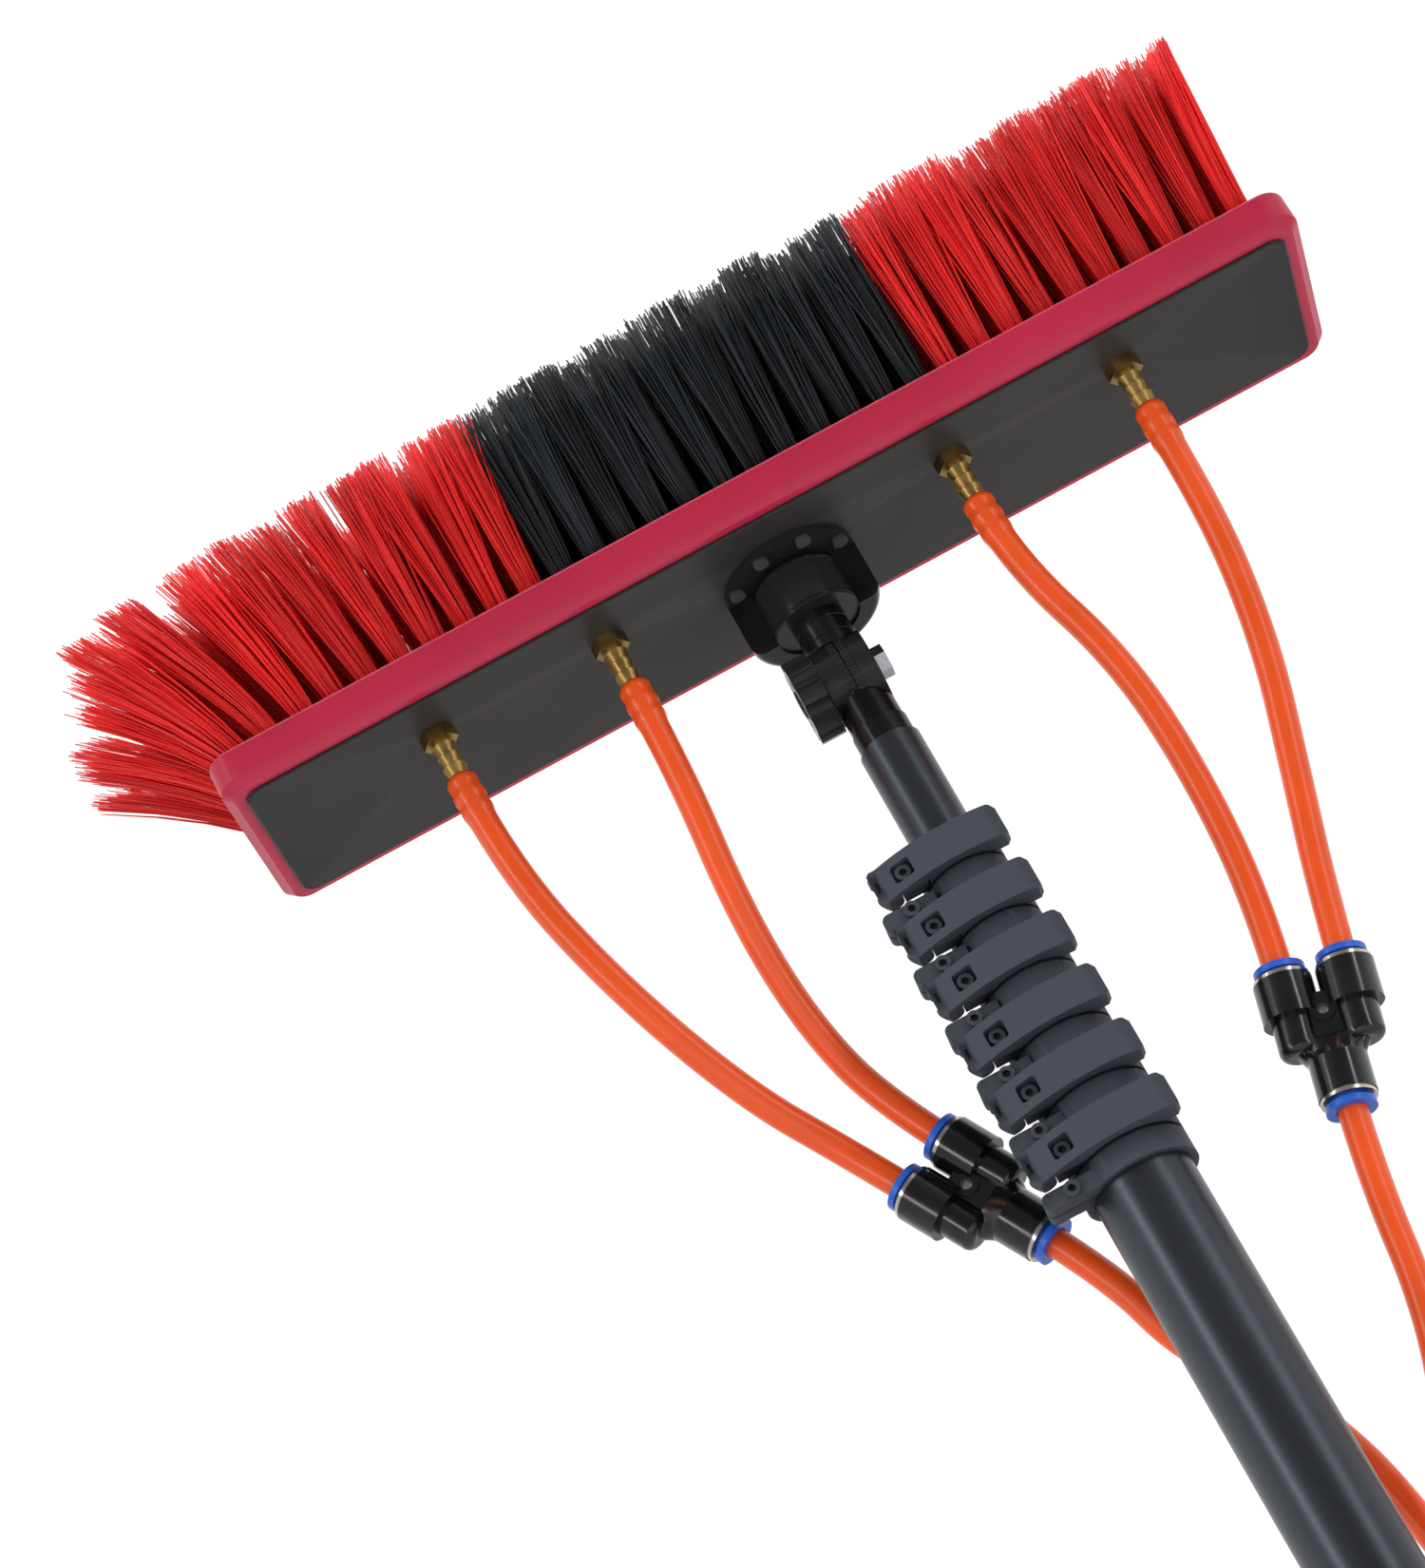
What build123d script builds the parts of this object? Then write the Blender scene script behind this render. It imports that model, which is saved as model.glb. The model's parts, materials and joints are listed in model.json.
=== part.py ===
from build123d import *
import math
import os

os.makedirs("parts", exist_ok=True)

# Water-fed window cleaning pole, collapsed, with its brush head upright.
# Millimetres. +Z runs up the pole, X is the brush's long axis, and the origin is the centre of the butt.

# Telescopic pole
TUBE_COUNT = 7
TUBE_LENGTH = 1000.0
OUTER_TUBE_RADIUS = 17.2
TUBE_WALL = 1.0
SLIDE_CLEARANCE = 0.05
CAP_FLANGE = 3.0
CAP_PLUG = 16.0

# Lever clamps. Each follows the size of its own tube, so the growths are for each millimetre of tube radius
# beyond the top clamp's.
CLAMP_PITCH = 22.8
LEVER_HEIGHT = 12.6
SLIT = 1.1
BAND_HEIGHT = 8.7
CLAMP_WALL = 2.6
NECK_WALL = 1.4
CLAMP_ABOVE_TUBE = 4.0
LIP_CLEARANCE = 0.3
LEVER_GAP = 0.3
LEVER_THICKNESS = 3.5
LEVER_DEPTH = 11.0
LEVER_RIGHT = 18.5
LEVER_RIGHT_GROWTH = 0.55
LEVER_CORNER = (2.5, 2.2)
LEVER_CORNER_DEPTH = 4.8
LEVER_CHAMFER = 1.5
LEVER_NOSE_CHAMFER = 3.0
HINGE_X = -25.3
HINGE_X_GROWTH = -0.45
HINGE_Y = -8.5
HINGE_Y_GROWTH = -0.65
HINGE_BARREL_RADIUS = 4.0
HINGE_PIN_RADIUS = 1.5
NOSE_LENGTH = 3.6
NOSE_SLIT_WIDTH = 1.0
NOSE_SLIT_HEIGHT = 3.6
NOSE_SLIT_DEPTH = 0.8
TONGUE_HEIGHT = 4.4
TONGUE_WIDTH = 4.8
BOSS_AHEAD = 3.5
BOSS_RIGHT = -12.0
POCKET_RIGHT = -11.2
WINDOW_X = -17.7
WINDOW_WIDTH = 7.2
WINDOW_HEIGHT = 6.4
WINDOW_CORNER = 1.0
EAR_LEFT = -31.5
EAR_RIGHT = -12.0
EAR_DEPTH = 12.0
EAR_HEIGHT = 6.2
EAR_SLIT = 1.2
EAR_ROUND = 2.5
EAR_SCREW_X = -21.0
SCREW_RADIUS = 1.5
SCREW_HEAD_RADIUS = 2.7
SCREW_HEAD_HEIGHT = 2.0
WINDOW_SCREW_DEPTH = 5.0
HEX_SOCKET_RADIUS = 1.4
HEX_SOCKET_DEPTH = 1.2

# Brush head, measured down from the panel's back face
PANEL_ABOVE_TOP_CLAMP = 121.5
PIVOT_DROP = 48.0
TUBE_TOP_DROP = 78.0
BLOCK_LENGTH = 405.0
BLOCK_WIDTH = 90.0
BLOCK_HEIGHT = 14.5
BLOCK_CHAMFER = 3.2
BLOCK_CORNER = 9.0
PANEL_MARGIN = 6.7
PANEL_THICKNESS = 3.2
PANEL_PROUD = 1.2
PANEL_CORNER = 6.0

# Bristle tufts
TUFT_COLUMNS = 32
TUFT_COLUMN_PITCH = 12.2
TUFT_ROWS = 6
TUFT_ROW_PITCH = 12.4
TUFT_ROOT_RADIUS = 4.0
TUFT_TIP_RADIUS = 5.4
TUFT_LENGTH = 80.0
TUFT_LEFT_FLARE_NEAR = 41.0
TUFT_LEFT_FLARE_FAR = 83.0
TUFT_RIGHT_FLARE = 6.0
TUFT_SIDE_FLARE = 4.0
TUFT_SMALLEST_LEAN = 0.25
TUFT_BURIED = 5.0
TUFT_JET_CLEARANCE = 6.5
DARK_HALF_LENGTH = 70.0

# Water inlets and jets
INLET_XS = (-130.0, -65.0, 65.0, 130.0)
INLET_Y = -16.0
BARB_LENGTH = 20.0
BARB_ROOT_RADIUS = 3.2
BARB_RIDGE_RADIUS = 4.3
BARB_RIDGE_COUNT = 3
HEX_ACROSS_FLATS = 11.0
HEX_HEIGHT = 4.5
SHANK_RADIUS = 3.0
JET_STEM = 4.0
JET_HEIGHT = 8.0

# Socket, collar, arm and knuckle
HOUSING_RADIUS = 24.0
HOUSING_FLANGE = 3.0
HOUSING_HEIGHT = 24.0
COLLAR_RADIUS = 15.2
COLLAR_TOP_DROP = 5.6
COLLAR_BOTTOM_DROP = 23.0
ARM_RADIUS = 9.35
DISC_RADIUS = 13.5
DISC_WIDTH = 9.2
DISC_GAP = 0.3
DISC_CLEARANCE = 0.8
POCKET_COUNT = 8
POCKET_RADIUS = 1.7
POCKET_CIRCLE = 10.0
POCKET_DEPTH = 2.0
BOLT_RADIUS = 3.0
BOLT_CLEARANCE = 0.05
BOLT_HEX_ACROSS_FLATS = 10.0
BOLT_HEAD_HEIGHT = 4.5
KNOB_RADIUS = 15.0
KNOB_WIDTH = 9.0
KNOB_LOBES = 8
KNOB_SCALLOP_RADIUS = 3.4
STUB_RING_DROP = 70.0
SPIGOT_DEPTH = 45.0
HOUSING_SCREW_XYS = ((-19.5, -8.0), (19.5, -8.0), (-8.0, -19.5), (8.0, -19.5))
HOUSING_SCREW_BITE = 5.0
HOUSING_SCREW_HOLE = 6.0
HOUSING_SCREW_HEAD_HEIGHT = 1.8

# Hoses and push-in Y fittings
HOSE_RADIUS = 5.0
PORT_RADIUS = 9.7
PORT_LENGTH = 14.0
PORT_PITCH = 20.4
FITTING_HALF_LENGTH = 22.0
PORT_BORE_RADIUS = 6.6
PORT_BORE_DEPTH = 10.0
PASSAGE_RADIUS = 3.5
LOBE_RADIUS = 7.2
LOBE_BOTTOM = -5.0
LOBE_ROUND = 3.0
WEB_THICKNESS = 9.0
WEB_TOP = 14.0
SHOULDER_TOP = -1.0
SHOULDER_BOTTOM = -9.0
CHAMBER_BOTTOM = -2.0
CHAMBER_HEIGHT = 5.0
EYELET_RADIUS = 1.9
EYELET_BOSS_RADIUS = 4.0
EYELET_BOSS_THICKNESS = 11.0
EYELET_HEIGHT = 7.5
RING_RADIUS = 9.3
RING_THICKNESS = 1.4
COLLET_SLEEVE_RADIUS = 6.5
COLLET_FLANGE_RADIUS = 8.4
COLLET_BORE_RADIUS = 5.15
COLLET_FLANGE_THICKNESS = 2.2
COLLET_TRAVEL = 1.3
COLLET_SLEEVE_DEPTH = 7.5

# Heights that follow from those
CLAMP_TOP = [TUBE_LENGTH + CLAMP_ABOVE_TUBE + (TUBE_COUNT - 1 - k) * CLAMP_PITCH for k in range(TUBE_COUNT)]
PANEL_Z = CLAMP_TOP[1] + PANEL_ABOVE_TOP_CLAMP
BLOCK_Z = PANEL_Z + PANEL_PROUD
BLOCK_TOP = BLOCK_Z + BLOCK_HEIGHT
PIVOT_Z = PANEL_Z - PIVOT_DROP
TUBE_1_TOP = PANEL_Z - TUBE_TOP_DROP
BORE_CENTRE = (Align.CENTER, Align.CENTER, Align.MIN)


def tube_radius(number):
    """Outer radius of a tube, from 1, the thinnest, to 7."""
    return OUTER_TUBE_RADIUS - (TUBE_COUNT - number) * (TUBE_WALL + SLIDE_CLEARANCE)


def tube_top(number):
    return TUBE_1_TOP if number == 1 else CLAMP_TOP[number - 1] - CLAMP_ABOVE_TUBE


def below_panel(x, y, drop):
    """A point given by how far it is below the panel's back face."""
    return Vector(x, y, PANEL_Z - drop)


def save(piece, name):
    piece.part.label = name
    export_step(piece.part, f"parts/{name}.step")


# ---------------------------------------------------------------- pole

def make_tube(number):
    radius = tube_radius(number)
    base = CAP_FLANGE if number == TUBE_COUNT else tube_top(number) - TUBE_LENGTH
    with BuildPart() as tube:
        with BuildSketch(Plane.XY.offset(base)):
            Circle(radius)
            Circle(radius - TUBE_WALL, mode=Mode.SUBTRACT)
        extrude(amount=tube_top(number) - base)
    return tube


with BuildPart() as end_cap:
    Cylinder(OUTER_TUBE_RADIUS, CAP_FLANGE, align=BORE_CENTRE)
    fillet(end_cap.edges().sort_by(Axis.Z)[0], 1.0)
    with Locations((0, 0, CAP_FLANGE)):
        Cylinder(OUTER_TUBE_RADIUS - TUBE_WALL, CAP_PLUG, align=BORE_CENTRE)


# ---------------------------------------------------------------- lever clamps

def clamp_growth(number):
    """How much larger in radius a clamp's outer tube is than the top clamp's."""
    return tube_radius(number + 1) - tube_radius(2)


def clamp_radius(number):
    return tube_radius(number + 1) + CLAMP_WALL


def hinge_place(number):
    growth = clamp_growth(number)
    return HINGE_X + HINGE_X_GROWTH * growth, HINGE_Y + HINGE_Y_GROWTH * growth


def boss_front(number):
    """The y of the flat front that the window screw and the ear screw are seated on."""
    return hinge_place(number)[1] - BOSS_AHEAD


def front_plane(y):
    """Plane that faces -Y; its sketches are drawn in X and Z."""
    return Plane.XZ.offset(-y)


def make_clamp_body(number):
    """Split band on the outer tube, neck, upper collar that grips the inner tube, and the lever's tongue."""
    top = CLAMP_TOP[number]
    bore = tube_radius(number + 1)
    lever_base = top - LEVER_HEIGHT
    band_top = lever_base - SLIT
    band_base = band_top - BAND_HEIGHT
    ear_middle = band_base + EAR_HEIGHT / 2
    tongue_base = lever_base + (LEVER_HEIGHT - TONGUE_HEIGHT) / 2
    hinge_x, hinge_y = hinge_place(number)
    front = boss_front(number)
    boss_left = hinge_x + HINGE_BARREL_RADIUS + LEVER_GAP
    with BuildPart() as body:
        with BuildSketch(Plane.XY.offset(band_base)):
            with Locations((EAR_LEFT, front)):
                Rectangle(EAR_RIGHT - EAR_LEFT, EAR_DEPTH, align=Align.MIN)
        extrude(amount=EAR_HEIGHT)
        fillet(body.edges().filter_by(Axis.Y).group_by(Axis.X)[0], EAR_ROUND)
        with BuildSketch(Plane.XY.offset(band_base)):
            Circle(clamp_radius(number))
        extrude(amount=BAND_HEIGHT)
        with BuildSketch(Plane.XY.offset(band_top)):
            Circle(bore + NECK_WALL)
        extrude(amount=SLIT)
        with BuildSketch(Plane.XY.offset(lever_base)):
            Circle(clamp_radius(number))
            with Locations((boss_left, front)):
                Rectangle(BOSS_RIGHT - boss_left, BOSS_AHEAD + TONGUE_WIDTH / 2, align=Align.MIN)
        extrude(amount=LEVER_HEIGHT)
        with BuildSketch(Plane.XY.offset(tongue_base)):
            with Locations((hinge_x, hinge_y)):
                Rectangle(BOSS_RIGHT - hinge_x, TONGUE_WIDTH, align=(Align.MIN, Align.CENTER))
                Circle(TONGUE_WIDTH / 2)
        extrude(amount=TONGUE_HEIGHT)
        # Bores: the outer tube from below, a lip around the inner tube above it.
        with BuildSketch(Plane.XY.offset(band_base)):
            Circle(bore)
        extrude(amount=top - CLAMP_ABOVE_TUBE - band_base, mode=Mode.SUBTRACT)
        with BuildSketch(Plane.XY.offset(top)):
            Circle(tube_radius(number) + LIP_CLEARANCE)
        extrude(amount=-CLAMP_ABOVE_TUBE, mode=Mode.SUBTRACT)
        # The split through the band's ear, with its screw's hole and the nut's seat.
        with BuildSketch(Plane.XY.offset(band_base)):
            with Locations((EAR_LEFT, front + EAR_DEPTH / 2)):
                Rectangle(-EAR_LEFT, EAR_SLIT, align=(Align.MIN, Align.CENTER))
        extrude(amount=BAND_HEIGHT, mode=Mode.SUBTRACT)
        with BuildSketch(front_plane(front)):
            with Locations((EAR_SCREW_X, ear_middle)):
                Circle(SCREW_RADIUS)
        extrude(amount=-EAR_DEPTH, mode=Mode.SUBTRACT)
        with BuildSketch(front_plane(front + EAR_DEPTH)):
            with Locations((EAR_SCREW_X, ear_middle)):
                RegularPolygon(SCREW_HEAD_RADIUS, 6)
        extrude(amount=-SCREW_HEAD_HEIGHT, mode=Mode.SUBTRACT)
        # The hinge pin's hole, and the window screw's.
        with BuildSketch(Plane.XY.offset(tongue_base)):
            with Locations((hinge_x, hinge_y)):
                Circle(HINGE_PIN_RADIUS)
        extrude(amount=TONGUE_HEIGHT, mode=Mode.SUBTRACT)
        with BuildSketch(front_plane(front)):
            with Locations((WINDOW_X, top - LEVER_HEIGHT / 2)):
                Circle(SCREW_RADIUS)
        extrude(amount=-WINDOW_SCREW_DEPTH, mode=Mode.SUBTRACT)
    return body


def make_clamp_lever(number):
    """Cam lever across the front of the upper collar, from its hinge barrel to its square finger end."""
    base = CLAMP_TOP[number] - LEVER_HEIGHT
    top = CLAMP_TOP[number]
    middle = top - LEVER_HEIGHT / 2
    inner = clamp_radius(number) + LEVER_GAP
    hinge_x, hinge_y = hinge_place(number)
    left = hinge_x - HINGE_BARREL_RADIUS
    right = LEVER_RIGHT + LEVER_RIGHT_GROWTH * clamp_growth(number)
    front = -inner - LEVER_THICKNESS
    pocket_front = boss_front(number) - LEVER_GAP
    with BuildPart() as lever:
        with BuildSketch(Plane.XY.offset(base)):
            with BuildLine():
                bow_end = (right - LEVER_CORNER[0], front + LEVER_CORNER[1])
                bow = ThreePointArc((hinge_x, hinge_y - HINGE_BARREL_RADIUS), (0, front), bow_end)
                Polyline(bow @ 1, (right, front + LEVER_CORNER_DEPTH), (right, front + LEVER_DEPTH),
                         (0, hinge_y), (hinge_x, hinge_y), bow @ 0)
            make_face()
            with Locations((hinge_x, hinge_y)):
                Circle(HINGE_BARREL_RADIUS)
                Rectangle(NOSE_LENGTH, HINGE_BARREL_RADIUS, align=Align.MAX)
            Circle(inner, mode=Mode.SUBTRACT)
            # Room for the boss of the clamp's body.
            with Locations((hinge_x + HINGE_BARREL_RADIUS, pocket_front)):
                Rectangle(POCKET_RIGHT - hinge_x - HINGE_BARREL_RADIUS, hinge_y - pocket_front + LEVER_GAP,
                          align=Align.MIN, mode=Mode.SUBTRACT)
        extrude(amount=LEVER_HEIGHT)
        # Its ends are chamfered as seen from the front.
        with BuildSketch(front_plane(front)):
            with BuildLine():
                Polyline((left, base + LEVER_NOSE_CHAMFER), (left + LEVER_NOSE_CHAMFER, base),
                         (right - LEVER_CHAMFER, base), (right, base + LEVER_CHAMFER),
                         (right, top - LEVER_CHAMFER), (right - LEVER_CHAMFER, top),
                         (left + LEVER_CHAMFER, top), (left, top - LEVER_CHAMFER), close=True)
            make_face()
        extrude(amount=2 * front, mode=Mode.INTERSECT)
        # Room for the body's tongue, behind a front wall that stays whole.
        with BuildSketch(Plane.XY.offset(middle - TONGUE_HEIGHT / 2 - LEVER_GAP)):
            with Locations((hinge_x, hinge_y - TONGUE_WIDTH / 2 - LEVER_GAP)):
                Rectangle(3 * HINGE_BARREL_RADIUS, 2 * HINGE_BARREL_RADIUS, align=(Align.CENTER, Align.MIN))
        extrude(amount=TONGUE_HEIGHT + 2 * LEVER_GAP, mode=Mode.SUBTRACT)
        with BuildSketch(Plane.XY.offset(base)):
            with Locations((hinge_x, hinge_y)):
                Circle(HINGE_PIN_RADIUS + SLIDE_CLEARANCE)
        extrude(amount=LEVER_HEIGHT, mode=Mode.SUBTRACT)
        with BuildSketch(front_plane(front)):
            with Locations((WINDOW_X, middle)):
                RectangleRounded(WINDOW_WIDTH, WINDOW_HEIGHT, WINDOW_CORNER)
        extrude(amount=front - pocket_front, mode=Mode.SUBTRACT)
        with BuildSketch(front_plane(hinge_y - HINGE_BARREL_RADIUS)):
            with Locations((hinge_x - NOSE_LENGTH / 2, middle)):
                Rectangle(NOSE_SLIT_WIDTH, NOSE_SLIT_HEIGHT)
        extrude(amount=-NOSE_SLIT_DEPTH, mode=Mode.SUBTRACT)
    return lever


def make_clamp_bolts(number):
    """Hinge pin, the socket screw in the lever's window, and the ear's socket screw with its nut."""
    top = CLAMP_TOP[number]
    front = boss_front(number)
    ear_middle = top - LEVER_HEIGHT - SLIT - BAND_HEIGHT + EAR_HEIGHT / 2
    screws = (
        (WINDOW_X, top - LEVER_HEIGHT / 2, WINDOW_SCREW_DEPTH),
        (EAR_SCREW_X, ear_middle, EAR_DEPTH + SCREW_HEAD_HEIGHT),
    )
    with BuildPart() as bolts:
        with Locations((*hinge_place(number), top - LEVER_HEIGHT)):
            Cylinder(HINGE_PIN_RADIUS, LEVER_HEIGHT, align=BORE_CENTRE)
        for x, z, depth in screws:
            with BuildSketch(front_plane(front)):
                with Locations((x, z)):
                    Circle(SCREW_RADIUS)
            extrude(amount=-depth)
            with BuildSketch(front_plane(front)):
                with Locations((x, z)):
                    Circle(SCREW_HEAD_RADIUS)
            extrude(amount=SCREW_HEAD_HEIGHT)
            with BuildSketch(front_plane(front - SCREW_HEAD_HEIGHT)):
                with Locations((x, z)):
                    RegularPolygon(HEX_SOCKET_RADIUS, 6)
            extrude(amount=-HEX_SOCKET_DEPTH, mode=Mode.SUBTRACT)
        with BuildSketch(front_plane(front + EAR_DEPTH)):
            with Locations((EAR_SCREW_X, ear_middle)):
                RegularPolygon(SCREW_HEAD_RADIUS, 6)
        extrude(amount=-SCREW_HEAD_HEIGHT)
    return bolts


# ---------------------------------------------------------------- brush head

def inlet_spots(z):
    return [(x, INLET_Y, z) for x in INLET_XS]


def housing_screw_spots(z):
    return [(x, y, z) for x, y in HOUSING_SCREW_XYS]


with BuildPart() as brush_block:
    with BuildSketch(Plane.XY.offset(BLOCK_Z)):
        RectangleRounded(BLOCK_LENGTH, BLOCK_WIDTH, BLOCK_CORNER)
    extrude(amount=BLOCK_HEIGHT)
    chamfer(brush_block.faces().sort_by(Axis.Z)[0].edges(), BLOCK_CHAMFER)
    fillet(brush_block.faces().sort_by(Axis.Z)[-1].edges(), 1.5)
    with BuildSketch(Plane.XY.offset(BLOCK_Z)):
        RectangleRounded(BLOCK_LENGTH - 2 * PANEL_MARGIN, BLOCK_WIDTH - 2 * PANEL_MARGIN, PANEL_CORNER)
    extrude(amount=PANEL_THICKNESS - PANEL_PROUD, mode=Mode.SUBTRACT)
    with Locations(*inlet_spots(BLOCK_Z)):
        Cylinder(SHANK_RADIUS, BLOCK_HEIGHT, align=BORE_CENTRE, mode=Mode.SUBTRACT)
    with Locations(*housing_screw_spots(PANEL_Z + PANEL_THICKNESS)):
        Cylinder(SCREW_RADIUS, HOUSING_SCREW_HOLE, align=BORE_CENTRE, mode=Mode.SUBTRACT)

with BuildPart() as back_panel:
    with BuildSketch(Plane.XY.offset(PANEL_Z)):
        RectangleRounded(BLOCK_LENGTH - 2 * PANEL_MARGIN, BLOCK_WIDTH - 2 * PANEL_MARGIN, PANEL_CORNER)
    extrude(amount=PANEL_THICKNESS)
    chamfer(back_panel.faces().sort_by(Axis.Z)[0].edges(), 0.6)
    with Locations(*inlet_spots(PANEL_Z)):
        Cylinder(SHANK_RADIUS, PANEL_THICKNESS, align=BORE_CENTRE, mode=Mode.SUBTRACT)
    with Locations(*housing_screw_spots(PANEL_Z)):
        Cylinder(SCREW_RADIUS, PANEL_THICKNESS, align=BORE_CENTRE, mode=Mode.SUBTRACT)

with BuildPart() as inlet_barbs:
    with Locations(*inlet_spots(PANEL_Z)):
        Cylinder(SHANK_RADIUS, BLOCK_HEIGHT - JET_STEM, align=BORE_CENTRE)
    with BuildSketch(Plane.XY.offset(PANEL_Z)):
        with Locations(*[(x, INLET_Y) for x in INLET_XS]):
            RegularPolygon(HEX_ACROSS_FLATS / 2, 6, major_radius=False)
    extrude(amount=-HEX_HEIGHT)
    with BuildSketch(Plane.XY.offset(PANEL_Z)):
        with Locations(*[(x, INLET_Y) for x in INLET_XS]):
            Circle(BARB_ROOT_RADIUS)
    extrude(amount=-BARB_LENGTH)
    ridge = (BARB_LENGTH - HEX_HEIGHT - 2.0) / BARB_RIDGE_COUNT
    for step in range(BARB_RIDGE_COUNT):
        with Locations(*inlet_spots(PANEL_Z - HEX_HEIGHT - 1.0 - (step + 1) * ridge)):
            Cone(BARB_ROOT_RADIUS + 0.1, BARB_RIDGE_RADIUS, ridge - 0.8, align=BORE_CENTRE)

with BuildPart() as spray_jets:
    with Locations(*inlet_spots(BLOCK_TOP - JET_STEM)):
        Cylinder(SHANK_RADIUS, JET_STEM, align=BORE_CENTRE)
    with Locations(*inlet_spots(BLOCK_TOP)):
        Cone(SHANK_RADIUS, SHANK_RADIUS / 2, JET_HEIGHT, align=BORE_CENTRE)
        Cylinder(0.6, JET_HEIGHT, align=BORE_CENTRE, mode=Mode.SUBTRACT)


def tuft_spots(x_from, x_to):
    """Root and lean of every tuft between two columns; the left end fans out, most on its +Y side."""
    spots = []
    end = TUFT_COLUMN_PITCH * (TUFT_COLUMNS - 1) / 2
    side = TUFT_ROW_PITCH * (TUFT_ROWS - 1) / 2
    for column in range(TUFT_COLUMNS):
        x = column * TUFT_COLUMN_PITCH - end
        for row in range(TUFT_ROWS):
            y = row * TUFT_ROW_PITCH - side
            near_jet = any(math.hypot(x - jet, y - INLET_Y) < TUFT_JET_CLEARANCE for jet in INLET_XS)
            if x_from < x < x_to and not near_jet:
                flare = TUFT_RIGHT_FLARE
                if x < 0:
                    flare_growth = (TUFT_LEFT_FLARE_FAR - TUFT_LEFT_FLARE_NEAR) * (y / side + 1) / 2
                    flare = TUFT_LEFT_FLARE_NEAR + flare_growth
                lean_x = flare * (x / end) ** 5
                lean_y = TUFT_SIDE_FLARE * y / side
                # The dark centre and the two middle rows stand straight up.
                if abs(x) < DARK_HALF_LENGTH or abs(lean_x) < TUFT_SMALLEST_LEAN:
                    lean_x = 0.0
                if abs(y) < TUFT_ROW_PITCH:
                    lean_y = 0.0
                lean = Vector(lean_x, lean_y, TUFT_LENGTH)
                spots.append((Vector(x, y, BLOCK_TOP), lean.normalized()))
    return spots


def make_bristles(x_from, x_to):
    """Slightly conical tufts, cut flush with the block's front face."""
    planes = [Plane(origin=root - lean * TUFT_BURIED, z_dir=lean) for root, lean in tuft_spots(x_from, x_to)]
    with BuildPart() as bristles:
        with Locations(*[plane.location for plane in planes]):
            Cone(TUFT_ROOT_RADIUS, TUFT_TIP_RADIUS, TUFT_LENGTH + TUFT_BURIED, align=BORE_CENTRE)
        with Locations((0, 0, BLOCK_TOP)):
            Box(2 * BLOCK_LENGTH, 2 * BLOCK_WIDTH, 4 * TUFT_BURIED,
                align=(Align.CENTER, Align.CENTER, Align.MAX), mode=Mode.SUBTRACT)
    return bristles


with BuildPart() as socket_housing:
    with BuildSketch(Plane.XY.offset(PANEL_Z)):
        Circle(HOUSING_RADIUS)
    extrude(amount=-HOUSING_FLANGE)
    with BuildSketch(Plane.XY.offset(PANEL_Z - HOUSING_FLANGE)):
        Circle(HOUSING_RADIUS)
        Rectangle(3 * HOUSING_RADIUS, 2 * HOUSING_RADIUS, align=(Align.CENTER, Align.MAX), mode=Mode.SUBTRACT)
    extrude(amount=HOUSING_FLANGE - HOUSING_HEIGHT)
    fillet(socket_housing.faces().sort_by(Axis.Z)[0].edges().sort_by(Axis.Y)[-1], 4.0)
    with BuildSketch(Plane.XY.offset(PANEL_Z - HOUSING_FLANGE)):
        Circle(COLLAR_RADIUS)
    extrude(amount=HOUSING_FLANGE - HOUSING_HEIGHT, mode=Mode.SUBTRACT)
    with BuildSketch(Plane.XY.offset(PANEL_Z)):
        Circle(ARM_RADIUS)
    extrude(amount=-HOUSING_FLANGE, mode=Mode.SUBTRACT)
    with Locations(*housing_screw_spots(PANEL_Z - HOUSING_FLANGE)):
        Cylinder(SCREW_RADIUS, HOUSING_FLANGE, align=BORE_CENTRE, mode=Mode.SUBTRACT)

with BuildPart() as housing_screws:
    with Locations(*housing_screw_spots(PANEL_Z - HOUSING_FLANGE)):
        Cylinder(SCREW_RADIUS, HOUSING_FLANGE + PANEL_THICKNESS + HOUSING_SCREW_BITE, align=BORE_CENTRE)
    with Locations(*housing_screw_spots(PANEL_Z - HOUSING_FLANGE - HOUSING_SCREW_HEAD_HEIGHT)):
        Cylinder(SCREW_HEAD_RADIUS, HOUSING_SCREW_HEAD_HEIGHT, align=BORE_CENTRE)

with BuildPart() as socket_collar:
    with BuildSketch(Plane.XY.offset(PANEL_Z - COLLAR_TOP_DROP)):
        Circle(COLLAR_RADIUS)
        Circle(ARM_RADIUS, mode=Mode.SUBTRACT)
    extrude(amount=COLLAR_TOP_DROP - COLLAR_BOTTOM_DROP)

with BuildPart() as swivel_arm:
    with BuildSketch(Plane.XY.offset(PANEL_Z)):
        Circle(ARM_RADIUS)
    extrude(amount=-PIVOT_DROP)
    with BuildSketch(Plane.YZ.offset(DISC_GAP / 2)):
        with Locations((0, PIVOT_Z)):
            Circle(DISC_RADIUS + DISC_CLEARANCE)
    extrude(amount=-2 * ARM_RADIUS, mode=Mode.SUBTRACT)
    with BuildSketch(Plane.YZ.offset(DISC_GAP / 2)):
        with Locations((0, PIVOT_Z)):
            Circle(DISC_RADIUS)
    extrude(amount=DISC_WIDTH)
    with BuildSketch(Plane.YZ.offset(DISC_GAP / 2 + DISC_WIDTH)):
        with Locations((0, PIVOT_Z)):
            with PolarLocations(POCKET_CIRCLE, POCKET_COUNT):
                Circle(POCKET_RADIUS)
    extrude(amount=-POCKET_DEPTH, mode=Mode.SUBTRACT)
    with BuildSketch(Plane.YZ.offset(DISC_GAP / 2)):
        with Locations((0, PIVOT_Z)):
            Circle(BOLT_RADIUS)
    extrude(amount=DISC_WIDTH, mode=Mode.SUBTRACT)

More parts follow.
